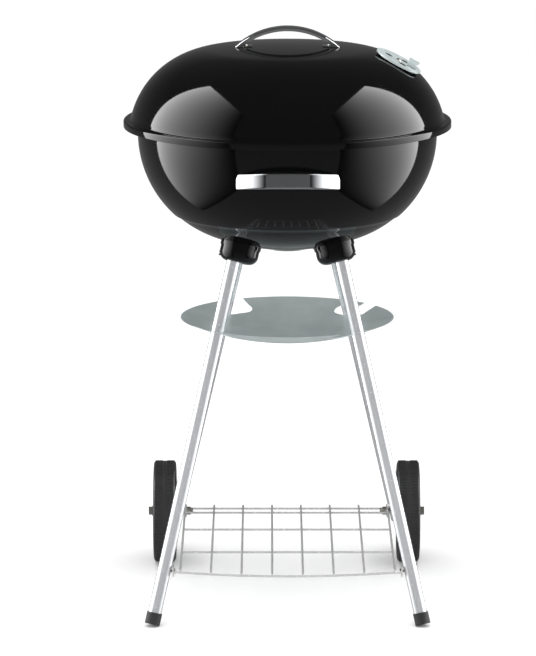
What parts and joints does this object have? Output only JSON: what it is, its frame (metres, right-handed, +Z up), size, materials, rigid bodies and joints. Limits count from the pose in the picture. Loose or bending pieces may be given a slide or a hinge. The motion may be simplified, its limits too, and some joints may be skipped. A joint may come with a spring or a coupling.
{
  "type": "kettle charcoal grill",
  "caption": "Kettle charcoal grill: domed lid on a deep bowl with strap handles and turning vents, on splayed tube legs with wheels, a hung ash pan and a wire shelf.",
  "frame": {"origin": "centre of the bounding box's footprint, on the ground under the feet and wheels", "axes": "+Z up along the kettle's axis, -Y towards the front, the side of the bowl's handle, +X to the right seen from the front; the wheels are at +Y"},
  "size_m": [0.47, 0.4966, 0.8324],
  "materials": {
    "enamel": "glossy",
    "handle_chrome": "polished",
    "leg_chrome": "polished",
    "tin": "satin",
    "grate_wire": "satin",
    "shelf_wire": "satin",
    "rubber": "matte",
    "plug_plastic": "matte",
    "wheel_plastic": "satin",
    "zinc": "satin"
  },
  "bodies": {
    "stand": {"bowl": "enamel", "bowl_handle": "handle_chrome", "bowl_handle_screws": "zinc", "bowl_handle_nuts": "zinc", "bowl_damper_rivet": "zinc", "grate_brackets": "zinc", "socket_front_left": "enamel", "socket_front_right": "enamel", "socket_rear_left": "enamel", "socket_rear_right": "enamel", "socket_bolts": "zinc", "leg_screws": "zinc", "leg_front_left": "leg_chrome", "leg_front_right": "leg_chrome", "leg_rear_left": "leg_chrome", "leg_rear_right": "leg_chrome", "foot_cap_left": "rubber", "foot_cap_right": "rubber", "rear_leg_plugs": "plug_plastic", "axle_bolts": "zinc", "axle_washers": "zinc", "axle_nuts": "zinc", "wire_shelf": "shelf_wire", "shelf_screws": "zinc"},
    "lid": {"lid": "enamel", "lid_handle": "handle_chrome", "lid_handle_screws": "zinc", "lid_handle_nuts": "zinc", "lid_damper_rivet": "zinc"},
    "lid_damper": {"lid_damper": "tin"},
    "bowl_damper": {"bowl_damper": "tin"},
    "cooking_grate": {"cooking_grate": "grate_wire"},
    "charcoal_grate": {"charcoal_grate": "grate_wire"},
    "wheel_left": {"wheel_left": "wheel_plastic"},
    "wheel_right": {"wheel_right": "wheel_plastic"},
    "ash_pan": {"ash_pan": "tin"}
  },
  "joints": [
    {"name": "lid_lift", "type": "slide", "parent": "stand", "child": "lid", "axis": [0, 0, 1], "range_m": [0, 0.3]},
    {"name": "cooking_grate_lift", "type": "slide", "parent": "stand", "child": "cooking_grate", "axis": [0, 0, 1], "range_m": [0, 0.02]},
    {"name": "charcoal_grate_lift", "type": "slide", "parent": "stand", "child": "charcoal_grate", "axis": [0, 0, 1], "range_m": [0, 0.08]},
    {"name": "lid_vent_turn", "type": "hinge", "parent": "lid", "child": "lid_damper", "pos_m": [0.15803, -0.03672, 0.78535], "axis": [0.4645, -0.0736, 0.8825], "range_deg": [0, 60]},
    {"name": "bowl_vent_turn", "type": "hinge", "parent": "stand", "child": "bowl_damper", "pos_m": [0, -0.01169, 0.51], "axis": [0, 0, 1], "range_deg": [0, 45]},
    {"name": "wheel_spin_left", "type": "hinge", "parent": "stand", "child": "wheel_left", "pos_m": [-0.183, 0.17231, 0.076], "axis": [1, 0, 0], "continuous": true},
    {"name": "wheel_spin_right", "type": "hinge", "parent": "stand", "child": "wheel_right", "pos_m": [0.183, 0.17231, 0.076], "axis": [1, 0, 0], "continuous": true},
    {"name": "ash_pan_turn", "type": "hinge", "parent": "stand", "child": "ash_pan", "pos_m": [0, -0.01169, 0.41], "axis": [0, 0, 1], "range_deg": [0, 11.5]}
  ]
}
